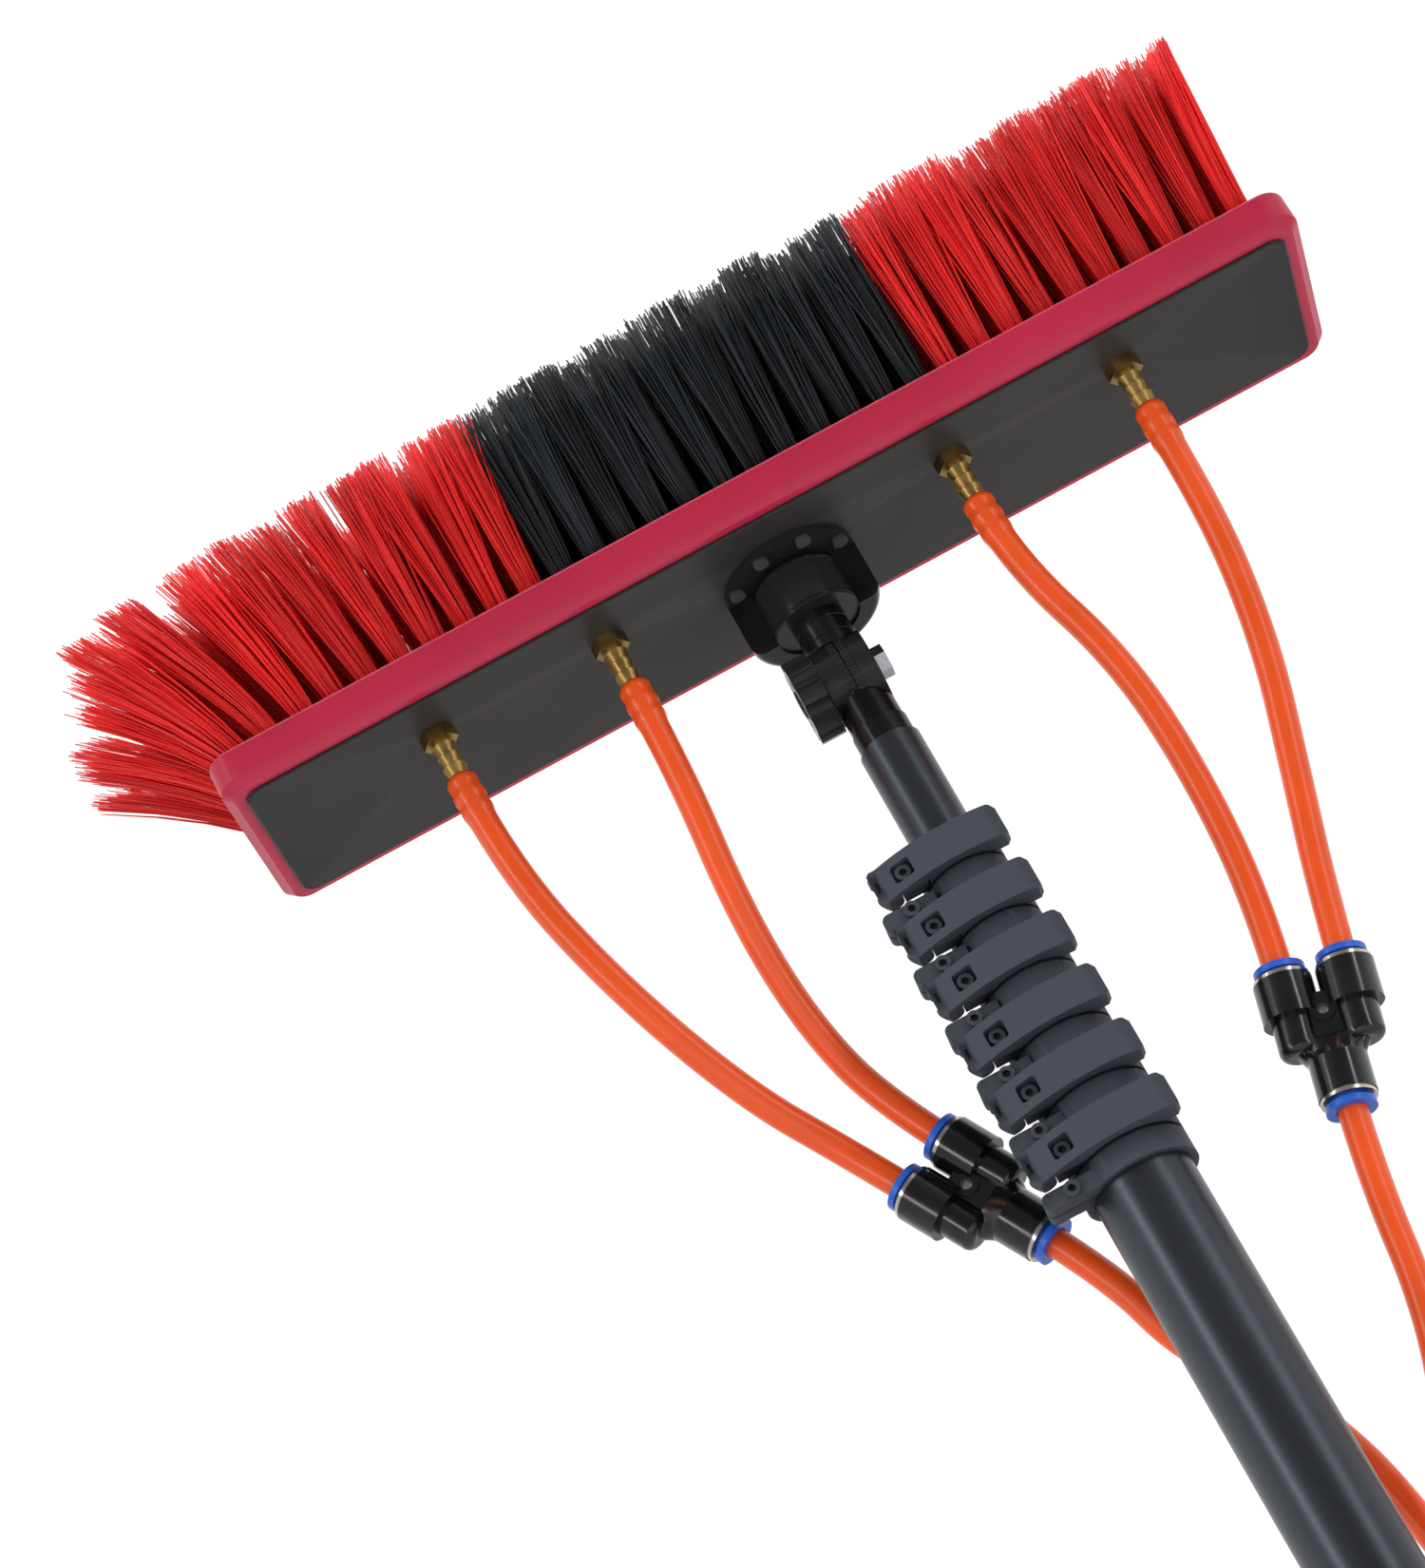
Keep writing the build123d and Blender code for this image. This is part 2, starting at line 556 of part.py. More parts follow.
with BuildPart() as knuckle_base:
    with BuildSketch(Plane.XY.offset(PIVOT_Z)):
        Circle(ARM_RADIUS)
    extrude(amount=PIVOT_DROP - STUB_RING_DROP)
    with BuildSketch(Plane.XY.offset(PANEL_Z - STUB_RING_DROP)):
        Circle(tube_radius(1) - TUBE_WALL)
    extrude(amount=STUB_RING_DROP - TUBE_TOP_DROP - SPIGOT_DEPTH)
    with BuildSketch(Plane.YZ.offset(-DISC_GAP / 2)):
        with Locations((0, PIVOT_Z)):
            Circle(DISC_RADIUS + DISC_CLEARANCE)
    extrude(amount=2 * ARM_RADIUS, mode=Mode.SUBTRACT)
    with BuildSketch(Plane.YZ.offset(-DISC_GAP / 2)):
        with Locations((0, PIVOT_Z)):
            Circle(DISC_RADIUS)
    extrude(amount=-DISC_WIDTH)
    with BuildSketch(Plane.YZ.offset(-DISC_GAP / 2)):
        with Locations((0, PIVOT_Z)):
            Circle(BOLT_RADIUS + BOLT_CLEARANCE)
    extrude(amount=-DISC_WIDTH, mode=Mode.SUBTRACT)

BOLT_FACE = DISC_GAP / 2 + DISC_WIDTH
KNOB_FACE = -BOLT_FACE - DISC_GAP

with BuildPart() as pivot_bolt:
    with BuildSketch(Plane.YZ.offset(BOLT_FACE)):
        with Locations((0, PIVOT_Z)):
            Circle(BOLT_RADIUS)
    extrude(amount=KNOB_FACE - BOLT_FACE - KNOB_WIDTH)
    with BuildSketch(Plane.YZ.offset(BOLT_FACE)):
        with Locations((0, PIVOT_Z)):
            RegularPolygon(BOLT_HEX_ACROSS_FLATS / 2, 6, major_radius=False)
    extrude(amount=BOLT_HEAD_HEIGHT)

with BuildPart() as tilt_knob:
    with BuildSketch(Plane.YZ.offset(KNOB_FACE)):
        with Locations((0, PIVOT_Z)):
            Circle(KNOB_RADIUS)
            with PolarLocations(KNOB_RADIUS + 1.0, KNOB_LOBES):
                Circle(KNOB_SCALLOP_RADIUS, mode=Mode.SUBTRACT)
            Circle(BOLT_RADIUS + BOLT_CLEARANCE, mode=Mode.SUBTRACT)
    extrude(amount=-KNOB_WIDTH)
    with BuildSketch(Plane.YZ.offset(KNOB_FACE - KNOB_WIDTH)):
        with Locations((0, PIVOT_Z)):
            with PolarLocations(POCKET_CIRCLE - 1.5, KNOB_LOBES, start_angle=180 / KNOB_LOBES):
                Circle(POCKET_RADIUS)
    extrude(amount=POCKET_DEPTH, mode=Mode.SUBTRACT)


# ---------------------------------------------------------------- hoses and Y fittings

# Each fitting's frame has its outlet along -z and its two inlets at +-x.
Y_FRAMES = {
    "left": Plane(origin=below_panel(-44.3, 28.0, 225.5), x_dir=(0.883, 0, 0.469), z_dir=(-0.469, 0, 0.883)),
    "right": Plane(origin=below_panel(75.5, 6.0, 241.3), x_dir=(0.970, 0, -0.242), z_dir=(0.242, 0, 0.970)),
    "inlet": Plane(origin=below_panel(29.0, 41.2, 460.0), x_dir=(0, 1, 0), z_dir=(0, 0, 1)),
}
SEAT = FITTING_HALF_LENGTH - PORT_BORE_DEPTH
LEAD_IN = FITTING_HALF_LENGTH + 26.0


def port_line(frame_name, side, outlet=False):
    """The two points of a hose's last straight run: outside a fitting's port, then on its seat."""
    frame = Y_FRAMES[frame_name]
    direction = -1 if outlet else 1
    x = 0.0 if outlet else side * PORT_PITCH / 2
    return [frame.from_local_coords(Vector(x, 0, direction * z)) for z in (LEAD_IN, SEAT)]


BRANCH_ROUTES = (
    [below_panel(-130, -16, 20), below_panel(-130, -16, 58), below_panel(-117, -5, 110),
     below_panel(-96.5, 14, 158), *port_line("left", -1)],
    [below_panel(-65, -16, 20), below_panel(-65, -16, 56), below_panel(-70, -2, 108),
     below_panel(-67.5, 17, 146), *port_line("left", 1)],
    [below_panel(65, -16, 20), below_panel(65, -16, 48), below_panel(79, -12, 96),
     below_panel(81.5, -2, 144), *port_line("right", -1)],
    [below_panel(130, -16, 20), below_panel(130, -16, 62), below_panel(123, -8, 113),
     below_panel(109.5, 1, 157), *port_line("right", 1)],
)
TRUNK_ROUTES = {
    "left": [*reversed(port_line("left", 0, outlet=True)), below_panel(-13, 36, 298), below_panel(7, 40, 325),
             below_panel(20, 45, 354), below_panel(26, 50, 384), *port_line("inlet", 1)],
    "right": [*reversed(port_line("right", 0, outlet=True)), below_panel(58, 14, 336),
              below_panel(43.5, 23.5, 374), *port_line("inlet", -1)],
}


def bend_radii(points):
    """The arc at each corner takes 45% of the shorter run beside it."""
    radii = []
    for before, corner, after in zip(points, points[1:], points[2:]):
        half_turn = math.radians((corner - before).get_angle(after - corner)) / 2
        radii.append(0.45 * min((corner - before).length, (after - corner).length) / math.tan(half_turn))
    return radii


def make_hose(points):
    with BuildPart() as hose:
        with BuildLine() as route:
            FilletPolyline(*points, radius=bend_radii(points))
        with BuildSketch(Plane(origin=route.line @ 0, z_dir=route.line % 0)):
            Circle(HOSE_RADIUS)
        sweep()
    return hose


def port_planes(frame_name):
    """Planes on the three port faces of a fitting, facing out: two inlets, then the outlet."""
    frame = Y_FRAMES[frame_name]
    planes = []
    for x, direction in ((-PORT_PITCH / 2, 1), (PORT_PITCH / 2, 1), (0, -1)):
        origin = frame.from_local_coords(Vector(x, 0, direction * FITTING_HALF_LENGTH))
        planes.append(Plane(origin=origin, x_dir=frame.x_dir, z_dir=frame.z_dir * direction))
    return planes


def make_y_body(frame_name):
    """Two inlet ports with a rounded lobe under each, a web between them, and the outlet port below."""
    frame = Y_FRAMES[frame_name]
    ports = port_planes(frame_name)
    front_view = Plane(origin=frame.origin, x_dir=frame.x_dir, z_dir=-frame.y_dir)
    with BuildPart() as body:
        for port in ports[:2]:
            with BuildSketch(port.offset(LOBE_BOTTOM - FITTING_HALF_LENGTH)):
                Circle(LOBE_RADIUS)
            extrude(amount=FITTING_HALF_LENGTH - LOBE_BOTTOM)
        rims = body.edges().filter_by(GeomType.CIRCLE).group_by(Axis(frame.origin, frame.z_dir))
        fillet(rims[0], LOBE_ROUND)
        for port in ports[:2]:
            with BuildSketch(port):
                Circle(PORT_RADIUS)
            extrude(amount=-PORT_LENGTH)
        with BuildSketch(front_view):
            with Locations((0, SHOULDER_TOP)):
                Rectangle(PORT_PITCH, WEB_TOP - SHOULDER_TOP, align=(Align.CENTER, Align.MIN))
        extrude(amount=WEB_THICKNESS / 2, both=True)
        with BuildSketch(frame.offset(SHOULDER_BOTTOM)):
            Circle(PORT_RADIUS)
        with BuildSketch(frame.offset(SHOULDER_TOP)):
            SlotOverall(PORT_PITCH + WEB_THICKNESS, WEB_THICKNESS)
        loft()
        with BuildSketch(ports[2]):
            Circle(PORT_RADIUS)
        extrude(amount=-FITTING_HALF_LENGTH - SHOULDER_BOTTOM)
        # Chamber and passages between the ports.
        with BuildSketch(frame.offset(CHAMBER_BOTTOM)):
            SlotOverall(PORT_PITCH + 2 * PASSAGE_RADIUS, 2 * PASSAGE_RADIUS)
        extrude(amount=CHAMBER_HEIGHT, mode=Mode.SUBTRACT)
        for port in ports:
            with BuildSketch(port):
                Circle(PORT_BORE_RADIUS)
            extrude(amount=-PORT_BORE_DEPTH, mode=Mode.SUBTRACT)
            with BuildSketch(port):
                Circle(PASSAGE_RADIUS)
            extrude(amount=-FITTING_HALF_LENGTH, mode=Mode.SUBTRACT)
        # Eyelet through the web, between the inlets.
        with BuildSketch(front_view):
            with Locations((0, EYELET_HEIGHT)):
                Circle(EYELET_BOSS_RADIUS)
        extrude(amount=EYELET_BOSS_THICKNESS / 2, both=True)
        with BuildSketch(front_view):
            with Locations((0, EYELET_HEIGHT)):
                Circle(EYELET_RADIUS)
        extrude(amount=EYELET_BOSS_THICKNESS, both=True, mode=Mode.SUBTRACT)
    return body


def make_collet(port):
    """Release collet: a sleeve around the hose and a flange that is pressed towards the fitting."""
    with BuildPart() as collet:
        with BuildSketch(port.offset(-COLLET_SLEEVE_DEPTH)):
            Circle(COLLET_SLEEVE_RADIUS)
        extrude(amount=COLLET_SLEEVE_DEPTH + RING_THICKNESS + COLLET_TRAVEL)
        with BuildSketch(port.offset(RING_THICKNESS + COLLET_TRAVEL)):
            Circle(COLLET_FLANGE_RADIUS)
        extrude(amount=COLLET_FLANGE_THICKNESS)
        with BuildSketch(port.offset(-COLLET_SLEEVE_DEPTH)):
            Circle(COLLET_BORE_RADIUS)
        extrude(amount=COLLET_SLEEVE_DEPTH + RING_THICKNESS + COLLET_TRAVEL + COLLET_FLANGE_THICKNESS,
                mode=Mode.SUBTRACT)
    return collet


with BuildPart() as port_rings:
    for fitting in Y_FRAMES:
        for port in port_planes(fitting):
            with BuildSketch(port):
                Circle(RING_RADIUS)
                Circle(PORT_BORE_RADIUS, mode=Mode.SUBTRACT)
            extrude(amount=RING_THICKNESS)


# ---------------------------------------------------------------- write every piece

for number in range(1, TUBE_COUNT + 1):
    save(make_tube(number), f"tube_{number}")
for number in range(1, TUBE_COUNT):
    save(make_clamp_body(number), f"clamp_body_{number}")
    save(make_clamp_lever(number), f"clamp_lever_{number}")
    save(make_clamp_bolts(number), f"clamp_bolts_{number}")
save(end_cap, "end_cap")
save(brush_block, "brush_block")
save(back_panel, "back_panel")
save(make_bristles(-BLOCK_LENGTH, -DARK_HALF_LENGTH), "bristles_left")
save(make_bristles(-DARK_HALF_LENGTH, DARK_HALF_LENGTH), "bristles_centre")
save(make_bristles(DARK_HALF_LENGTH, BLOCK_LENGTH), "bristles_right")
save(inlet_barbs, "inlet_barbs")
save(spray_jets, "spray_jets")
save(socket_housing, "socket_housing")
save(housing_screws, "housing_screws")
save(socket_collar, "socket_collar")
save(swivel_arm, "swivel_arm")
save(knuckle_base, "knuckle_base")
save(pivot_bolt, "pivot_bolt")
save(tilt_knob, "tilt_knob")
save(port_rings, "port_rings")
for number, route in enumerate(BRANCH_ROUTES, start=1):
    save(make_hose(route), f"hose_branch_{number}")
for side, route in TRUNK_ROUTES.items():
    save(make_hose(route), f"trunk_hose_{side}")
for fitting in Y_FRAMES:
    save(make_y_body(fitting), f"y_{fitting}")
    for end, port in zip(("a", "b", "outlet"), port_planes(fitting)):
        save(make_collet(port), f"collet_{fitting}_{end}")
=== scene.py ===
import json
import math

import bmesh
import bpy
import numpy as np
from mathutils import Matrix, Vector


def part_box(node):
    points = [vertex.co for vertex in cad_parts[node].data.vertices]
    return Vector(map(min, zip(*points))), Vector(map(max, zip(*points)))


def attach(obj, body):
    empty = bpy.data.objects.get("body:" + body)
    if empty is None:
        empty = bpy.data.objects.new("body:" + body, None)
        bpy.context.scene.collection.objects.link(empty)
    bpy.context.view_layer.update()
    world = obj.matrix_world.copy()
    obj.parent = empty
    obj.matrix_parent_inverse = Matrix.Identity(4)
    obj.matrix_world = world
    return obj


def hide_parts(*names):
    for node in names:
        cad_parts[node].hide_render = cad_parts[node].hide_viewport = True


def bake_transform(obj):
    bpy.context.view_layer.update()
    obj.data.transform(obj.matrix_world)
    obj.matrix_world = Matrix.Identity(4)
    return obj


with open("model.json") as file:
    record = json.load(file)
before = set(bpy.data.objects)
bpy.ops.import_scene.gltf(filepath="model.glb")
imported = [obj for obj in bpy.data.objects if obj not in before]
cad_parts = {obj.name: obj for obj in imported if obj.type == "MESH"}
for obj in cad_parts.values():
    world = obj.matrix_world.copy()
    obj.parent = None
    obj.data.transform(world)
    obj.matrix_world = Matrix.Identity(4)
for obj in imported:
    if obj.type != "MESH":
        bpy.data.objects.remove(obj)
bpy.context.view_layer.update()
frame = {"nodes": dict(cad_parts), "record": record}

NODES = frame["nodes"]
RANDOM = np.random.default_rng(20)
MM = 0.001

# Places that the frame gives, in metres
PANEL_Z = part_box("back_panel")[0].z
BLOCK_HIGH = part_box("brush_block")[1]
TUFT_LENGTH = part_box("bristles_centre")[1].z - BLOCK_HIGH.z
PIVOT_Z = (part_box("tilt_knob")[0].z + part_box("tilt_knob")[1].z) / 2

# Sizes that the pieces made here need, in metres
HOSE_RADIUS = 5.0 * MM
PORT_PITCH = 20.4 * MM
SEAT = 12.0 * MM
LEAD_IN = 48.0 * MM


# ---------------------------------------------------------------- camera, light and surroundings

CAMERA_ELEVATION = math.radians(-28.8)
CAMERA_YAW = math.radians(1.5)
CAMERA_ROLL = math.radians(29.1)
CAMERA_DISTANCE = 1.8
CAMERA_LENS = 127.7
CAMERA_TARGET = Vector((0, 0, PANEL_Z - 0.150))
CAMERA_SHIFT = (-0.0895, 0.0431)
DARK_SIDE = (0.0, -0.88, -0.48)
WORLD_BRIGHTEST = 1.05
WORLD_DARKEST = 0.20
# Cosine of the angle to the dark side at which the darkening starts and at which it is complete
WORLD_FADE = (-0.3, 0.7)
FLOOR_HALF_SIZE = 20.0
FLOOR_GAP = 0.5 * MM

# Name, place in metres, size in metres and power in watts
SOFTBOXES = (
    ("left_softbox", (-1.5, -1.4, 1.35), (0.30, 2.0), 11),
    ("right_softbox", (1.5, -1.3, 1.15), (0.25, 2.0), 8),
    ("low_softbox", (-0.3, -1.8, 0.25), (1.2, 0.4), 1.5),
    ("top_softbox", (0.0, -0.3, 2.6), (1.6, 1.2), 9),
)


def camera_axes(elevation, yaw):
    """Right, up and back vectors of a level camera that looks at the brush's back from below."""
    back = Vector((
        -math.sin(yaw) * math.cos(elevation),
        -math.cos(yaw) * math.cos(elevation),
        math.sin(elevation),
    ))
    right = Vector((0, 0, 1)).cross(back).normalized()
    return right, back.cross(right), back


def make_camera():
    right, up, back = camera_axes(CAMERA_ELEVATION, CAMERA_YAW)
    cos_roll, sin_roll = math.cos(CAMERA_ROLL), math.sin(CAMERA_ROLL)
    rolled_right = right * cos_roll - up * sin_roll
    rolled_up = right * sin_roll + up * cos_roll
    data = bpy.data.cameras.new("camera")
    data.lens = CAMERA_LENS
    data.clip_start = 0.05
    data.clip_end = 50
    camera = bpy.data.objects.new("camera", data)
    bpy.context.scene.collection.objects.link(camera)
    aim = CAMERA_TARGET + rolled_right * CAMERA_SHIFT[0] + rolled_up * CAMERA_SHIFT[1]
    place = aim + back * CAMERA_DISTANCE
    matrix = Matrix((rolled_right, rolled_up, back)).transposed().to_4x4()
    matrix.translation = place
    camera.matrix_world = matrix
    bpy.context.scene.camera = camera


def add_softbox(name, place, size, power):
    """A white area light that is aimed at the brush."""
    data = bpy.data.lights.new(name, "AREA")
    data.shape = "RECTANGLE"
    data.size, data.size_y = size
    data.energy = power
    lamp = bpy.data.objects.new(name, data)
    bpy.context.scene.collection.objects.link(lamp)
    lamp.location = place
    lamp.rotation_euler = (CAMERA_TARGET - Vector(place)).to_track_quat("-Z", "Y").to_euler()


def make_world():
    """White behind and above, darker in front and below, like a tent with a dark side."""
    world = bpy.data.worlds.new("studio")
    world.use_nodes = True
    nodes, links = world.node_tree.nodes, world.node_tree.links
    direction = nodes.new("ShaderNodeTexCoord").outputs["Generated"]
    towards_dark = nodes.new("ShaderNodeVectorMath")
    towards_dark.operation = "DOT_PRODUCT"
    towards_dark.inputs[1].default_value = DARK_SIDE
    links.new(direction, towards_dark.inputs[0])
    brightness = nodes.new("ShaderNodeMapRange")
    brightness.interpolation_type = "SMOOTHSTEP"
    brightness.inputs["From Min"].default_value = WORLD_FADE[0]
    brightness.inputs["From Max"].default_value = WORLD_FADE[1]
    brightness.inputs["To Min"].default_value = WORLD_BRIGHTEST
    brightness.inputs["To Max"].default_value = WORLD_DARKEST
    links.new(towards_dark.outputs["Value"], brightness.inputs["Value"])
    links.new(brightness.outputs["Result"], nodes["Background"].inputs["Strength"])
    nodes["Background"].inputs["Color"].default_value = (1.0, 1.0, 1.0, 1)
    bpy.context.scene.world = world


def make_surroundings():
    make_world()
    bpy.context.scene.view_settings.view_transform = "Standard"
    for name, place, size, power in SOFTBOXES:
        add_softbox(name, place, size, power)
    make_floor()


def make_floor():
    """A pale sheet just under the pole's butt."""
    mesh = bpy.data.meshes.new("floor")
    signs = ((-1, -1), (1, -1), (1, 1), (-1, 1))
    corners = [(x * FLOOR_HALF_SIZE, y * FLOOR_HALF_SIZE, 0) for x, y in signs]
    mesh.from_pydata(corners, [], [(0, 1, 2, 3)])
    floor = bpy.data.objects.new("floor", mesh)
    floor.location = (0, 0, -FLOOR_GAP)
    bpy.context.scene.collection.objects.link(floor)
    paint = Paint("floor_pale", (0.66, 0.66, 0.66), 0.7)
    paint.vary(8.0, 0.02)
    mesh.materials.append(paint.material)


# ---------------------------------------------------------------- materials

# Pointiness at which the painted edge highlight starts and at which it is full
EDGE_HIGHLIGHT_POINTINESS = (0.53, 0.62)


class Paint:
    """A Principled material that is built up with noise, relief and painted highlights on its sharp
    edges.
    """

    def __init__(self, name, colour, roughness, metallic=0.0,
                 coat=0.0, coat_roughness=0.1, specular=0.5):
        self.material = bpy.data.materials.new(name)
        self.material.use_nodes = True
        self.nodes = self.material.node_tree.nodes
        self.links = self.material.node_tree.links
        self.shader = self.nodes["Principled BSDF"]
        self.colour = (*colour, 1)
        self.roughness = roughness
        self.set("Base Color", self.colour)
        self.set("Roughness", roughness)
        self.set("Metallic", metallic)
        self.set("Coat Weight", coat)
        self.set("Coat Roughness", coat_roughness)
        self.set("Specular IOR Level", specular)
        self.coordinates = self.nodes.new("ShaderNodeTexCoord").outputs["Object"]
        self.normal = None

    def set(self, socket, value):
        self.shader.inputs[socket].default_value = value

    def noise(self, scale, detail=4.0, stretch=(1, 1, 1), roughness=0.55):
        mapping = self.nodes.new("ShaderNodeMapping")
        mapping.inputs["Scale"].default_value = stretch
        self.links.new(self.coordinates, mapping.inputs["Vector"])
        texture = self.nodes.new("ShaderNodeTexNoise")
        texture.inputs["Scale"].default_value = scale
        texture.inputs["Detail"].default_value = detail
        texture.inputs["Roughness"].default_value = roughness
        self.links.new(mapping.outputs["Vector"], texture.inputs["Vector"])
        return texture.outputs["Fac"]

    def remap(self, value, low, high, from_low=0.3, from_high=0.7):
        node = self.nodes.new("ShaderNodeMapRange")
        node.inputs["From Min"].default_value = from_low
        node.inputs["From Max"].default_value = from_high
        node.inputs["To Min"].default_value = low
        node.inputs["To Max"].default_value = high
        self.links.new(value, node.inputs["Value"])
        return node.outputs["Result"]

    def colour_mix(self, blend_type):
        """A mix node between the base colour so far, as its A, and the shader."""
        mix = self.nodes.new("ShaderNodeMix")
        mix.data_type = "RGBA"
        mix.blend_type = blend_type
        feed = self.shader.inputs["Base Color"]
        if feed.is_linked:
            self.links.new(feed.links[0].from_socket, mix.inputs["A"])
        else:
            mix.inputs["A"].default_value = self.colour
        self.links.new(mix.outputs["Result"], feed)
        return mix

    def tint(self, factor, amount):
        """Multiplies the base colour by 1 +- amount."""
        mix = self.colour_mix("MULTIPLY")
        mix.inputs["Factor"].default_value = 1.0
        self.links.new(self.remap(factor, 1 - amount, 1 + amount), mix.inputs["B"])

    def vary(self, scale, amount, rough_amount=0.05, stretch=(1, 1, 1)):
        """Soft unevenness in colour and in roughness."""
        factor = self.noise(scale, 5.0, stretch)
        self.tint(factor, amount)
        rough = self.remap(factor, self.roughness - rough_amount, self.roughness + rough_amount)
        self.links.new(rough, self.shader.inputs["Roughness"])

    def bump(self, scale, distance, strength=1.0, stretch=(1, 1, 1), detail=3.0):
        """Fine relief; distance is its height in metres."""
        node = self.nodes.new("ShaderNodeBump")
        node.inputs["Strength"].default_value = strength
        node.inputs["Distance"].default_value = distance
        self.links.new(self.noise(scale, detail, stretch), node.inputs["Height"])
        if self.normal is not None:
            self.links.new(self.normal, node.inputs["Normal"])
        self.normal = node.outputs["Normal"]
        self.links.new(self.normal, self.shader.inputs["Normal"])

    def paint_edge_highlight(self, colour):
        """Painted highlight: lighter colour where the surface has a sharp outward edge."""
        geometry = self.nodes.new("ShaderNodeNewGeometry")
        edge = self.remap(geometry.outputs["Pointiness"], 0.0, 1.0, *EDGE_HIGHLIGHT_POINTINESS)
        mix = self.colour_mix("MIX")
        mix.inputs["B"].default_value = (*colour, 1)
        self.links.new(edge, mix.inputs["Factor"])

    def strand_tone(self, amount):
        """Each filament has its own brightness, plus painted shade at its root and painted light at
        its tip, stored on its points.
        """
        attribute = self.nodes.new("ShaderNodeAttribute")
        attribute.attribute_name = "tone"
        self.tint(attribute.outputs["Fac"], amount)


def make_crimson():
    paint = Paint("crimson_moulding", (0.47, 0.011, 0.050), 0.38,
                  coat=0.08, coat_roughness=0.3, specular=0.3)
    paint.vary(26, 0.09)
    paint.vary(7, 0.07, stretch=(0.3, 1, 1))
    paint.bump(900, 0.00006, 0.35)
    paint.bump(14, 0.0003, 0.25)
    # painted highlight colour on the sharp edges
    paint.paint_edge_highlight((0.60, 0.035, 0.09))
    return paint.material


def make_panel():
    paint = Paint("charcoal_panel", (0.0105, 0.0097, 0.0096), 0.40, specular=0.18)
    paint.vary(18, 0.15, 0.07)
    paint.bump(1400, 0.00008, 0.5)
    # painted highlight colour on the sharp edges
    paint.paint_edge_highlight((0.05, 0.045, 0.045))
    return paint.material


def make_nylon():
    paint = Paint("black_nylon", (0.003, 0.003, 0.0033), 0.25,
                  coat=0.05, coat_roughness=0.10, specular=0.18)
    paint.vary(40, 0.2, 0.08)
    paint.bump(1100, 0.00005, 0.4)
    # painted highlight colour on the sharp edges
    paint.paint_edge_highlight((0.02, 0.0195, 0.0195))
    return paint.material


def make_brass():
    paint = Paint("turned_brass", (0.36, 0.23, 0.075), 0.38, metallic=1.0)
    paint.vary(160, 0.22, 0.10)
    paint.bump(700, 0.00004, 0.5, stretch=(1, 1, 9))
    return paint.material


def make_steel():
    paint = Paint("screw_steel", (0.40, 0.41, 0.43), 0.32, metallic=1.0)
    paint.vary(300, 0.12, 0.08)
    paint.bump(1500, 0.00003, 0.4)
    return paint.material


def make_black_bolt():
    paint = Paint("blackened_steel", (0.014, 0.016, 0.020), 0.42, metallic=0.1, specular=0.2)
    paint.vary(300, 0.2, 0.08)
    # painted highlight colour on the sharp edges
    paint.paint_edge_highlight((0.07, 0.075, 0.085))
    return paint.material


def make_tube_finish():
    paint = Paint("satin_anodised_tube", (0.058, 0.063, 0.073), 0.33, metallic=0.85, specular=0.3)
    paint.vary(60, 0.10, 0.05, stretch=(1, 1, 0.06))
    paint.bump(1600, 0.00002, 0.5, stretch=(1, 1, 0.03))
    return paint.material


def make_clamp_plastic(name, colour):
    paint = Paint(name, colour, 0.60, specular=0.18)
    paint.vary(45, 0.14, 0.06)
    paint.vary(500, 0.10)
    paint.bump(1300, 0.00010, 0.8)
    paint.bump(350, 0.00008, 0.3)
    # painted highlight colour on the sharp edges
    paint.paint_edge_highlight((0.065, 0.074, 0.092))
    return paint.material


def make_hose_skin():
    paint = Paint("orange_hose", (0.93, 0.095, 0.008), 0.30, specular=0.5)
    paint.vary(35, 0.08)
    paint.vary(9, 0.07)
    paint.bump(60, 0.00003, 0.2)
    return paint.material


def make_fitting_plastic():
    paint = Paint("gloss_black_moulding", (0.005, 0.005, 0.006), 0.20,
                  coat=0.35, coat_roughness=0.08, specular=0.4)
    paint.vary(60, 0.2, 0.05)
    paint.bump(220, 0.00008, 0.35)
    return paint.material


def make_nickel():
    paint = Paint("nickel_ring", (0.60, 0.55, 0.48), 0.22, metallic=1.0)
    paint.vary(200, 0.08, 0.05)
    return paint.material


def make_collet_blue():
    paint = Paint("blue_acetal", (0.022, 0.125, 0.62), 0.33, specular=0.4)
    paint.vary(80, 0.08)
    paint.bump(1200, 0.00005, 0.4)
    return paint.material


def make_bristle(name, colour, spread):
    paint = Paint(name, colour, 0.42, specular=0.3)
    paint.strand_tone(spread)
    return paint.material


def make_nozzle():
    paint = Paint("nozzle_plastic", (0.03, 0.03, 0.03), 0.4)
    paint.vary(200, 0.15)
    return paint.material


def make_materials():
    return {
        "block_crimson": make_crimson(),
        "panel_charcoal": make_panel(),
        "black_nylon": make_nylon(),
        "brass": make_brass(),
        "nozzle": make_nozzle(),
        "screw_steel": make_steel(),
        "black_bolt": make_black_bolt(),
        "tube": make_tube_finish(),
        "clamp": make_clamp_plastic("slate_clamp", (0.0150, 0.0180, 0.0237)),
        "lever": make_clamp_plastic("slate_lever", (0.0168, 0.0200, 0.0262)),
        "hose": make_hose_skin(),
        "fitting": make_fitting_plastic(),
        "nickel": make_nickel(),
        "collet": make_collet_blue(),
        "bristle_red": make_bristle("red_filament", (0.88, 0.022, 0.020), 0.25),
        "bristle_black": make_bristle("black_filament", (0.017, 0.020, 0.024), 0.6),
    }


